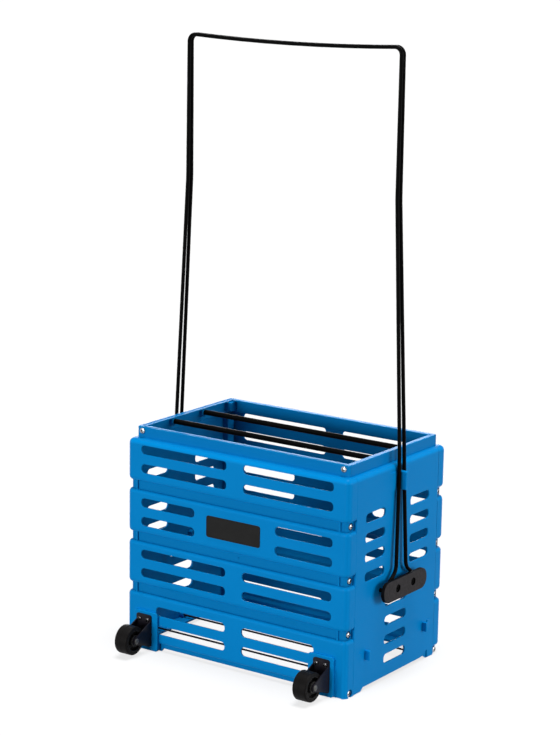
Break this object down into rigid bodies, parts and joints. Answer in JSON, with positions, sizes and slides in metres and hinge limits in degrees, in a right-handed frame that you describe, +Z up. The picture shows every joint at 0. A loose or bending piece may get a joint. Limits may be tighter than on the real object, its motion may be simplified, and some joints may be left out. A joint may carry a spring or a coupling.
{
  "type": "ball basket cart",
  "caption": "Slotted plastic basket for tennis balls on two small wheels, with rods across its open top and bottom and wire handles that swing down as legs.",
  "frame": {"origin": "on the floor, midway between the ends of the object and midway between its furthest points to the front and rear", "axes": "+X along the long side to the right seen from the wheeled face, +Y from the wheeled face to the rear, +Z up"},
  "size_m": [0.3792, 0.2866, 0.8091],
  "materials": {
    "blue_plastic": "moulded, semi-gloss, bright blue",
    "black_wire": "black plastic-coated steel wire, semi-gloss",
    "black_plastic": "moulded, matt, charcoal",
    "black_steel": "black painted sheet and rod, semi-gloss",
    "tyre_rubber": "solid rubber, matt black",
    "hub_plastic": "moulded, black",
    "plated_steel": "zinc-plated pan-head screws, bright"
  },
  "bodies": {
    "basket": {"front_panel": "blue_plastic", "rear_panel": "blue_plastic", "right_end_panel": "blue_plastic", "left_end_panel": "blue_plastic", "front_top_rod": "black_steel", "rear_top_rod": "black_steel", "bottom_rod_1": "black_steel", "bottom_rod_2": "black_steel", "bottom_rod_3": "black_steel", "right_pivot_bracket": "black_plastic", "right_bracket_front_screw": "black_steel", "right_bracket_rear_screw": "black_steel", "left_pivot_bracket": "black_plastic", "left_bracket_front_screw": "black_steel", "left_bracket_rear_screw": "black_steel", "front_right_corner_screw_1": "plated_steel", "front_right_corner_screw_2": "plated_steel", "front_right_corner_screw_3": "plated_steel", "front_right_corner_screw_4": "plated_steel", "front_right_rim_screw": "plated_steel", "front_left_corner_screw_1": "plated_steel", "front_left_corner_screw_2": "plated_steel", "front_left_corner_screw_3": "plated_steel", "front_left_corner_screw_4": "plated_steel", "front_left_rim_screw": "plated_steel", "rear_right_corner_screw_1": "plated_steel", "rear_right_corner_screw_2": "plated_steel", "rear_right_corner_screw_3": "plated_steel", "rear_right_corner_screw_4": "plated_steel", "rear_right_rim_screw": "plated_steel", "rear_left_corner_screw_1": "plated_steel", "rear_left_corner_screw_2": "plated_steel", "rear_left_corner_screw_3": "plated_steel", "rear_left_corner_screw_4": "plated_steel", "rear_left_rim_screw": "plated_steel", "right_wheel_fork": "black_steel", "right_axle": "black_steel", "right_fork_screw_1": "black_steel", "right_fork_screw_2": "black_steel", "right_fork_screw_3": "black_steel", "right_fork_screw_4": "black_steel", "left_wheel_fork": "black_steel", "left_axle": "black_steel", "left_fork_screw_1": "black_steel", "left_fork_screw_2": "black_steel", "left_fork_screw_3": "black_steel", "left_fork_screw_4": "black_steel"},
    "front_handle_body": {"front_handle": "black_wire", "front_right_handle_cap": "black_plastic", "front_left_handle_cap": "black_plastic"},
    "rear_handle_body": {"rear_handle": "black_wire", "rear_right_handle_cap": "black_plastic", "rear_left_handle_cap": "black_plastic"},
    "right_wheel": {"right_tyre": "tyre_rubber", "right_wheel_core": "hub_plastic"},
    "left_wheel": {"left_tyre": "tyre_rubber", "left_wheel_core": "hub_plastic"}
  },
  "joints": [
    {"name": "front_handle_hinge", "type": "hinge", "parent": "basket", "child": "front_handle_body", "pos_m": [0, -0.01052, 0.1248], "axis": [1, 0, 0], "range_deg": [0, 174]},
    {"name": "rear_handle_hinge", "type": "hinge", "parent": "basket", "child": "rear_handle_body", "pos_m": [0, 0.06607, 0.1248], "axis": [-1, 0, 0], "range_deg": [0, 174]},
    {"name": "right_wheel_spin", "type": "hinge", "parent": "basket", "child": "right_wheel", "pos_m": [0.142, -0.12412, 0.02225], "axis": [1, 0, 0], "continuous": true},
    {"name": "left_wheel_spin", "type": "hinge", "parent": "basket", "child": "left_wheel", "pos_m": [-0.142, -0.12412, 0.02225], "axis": [1, 0, 0], "continuous": true}
  ]
}
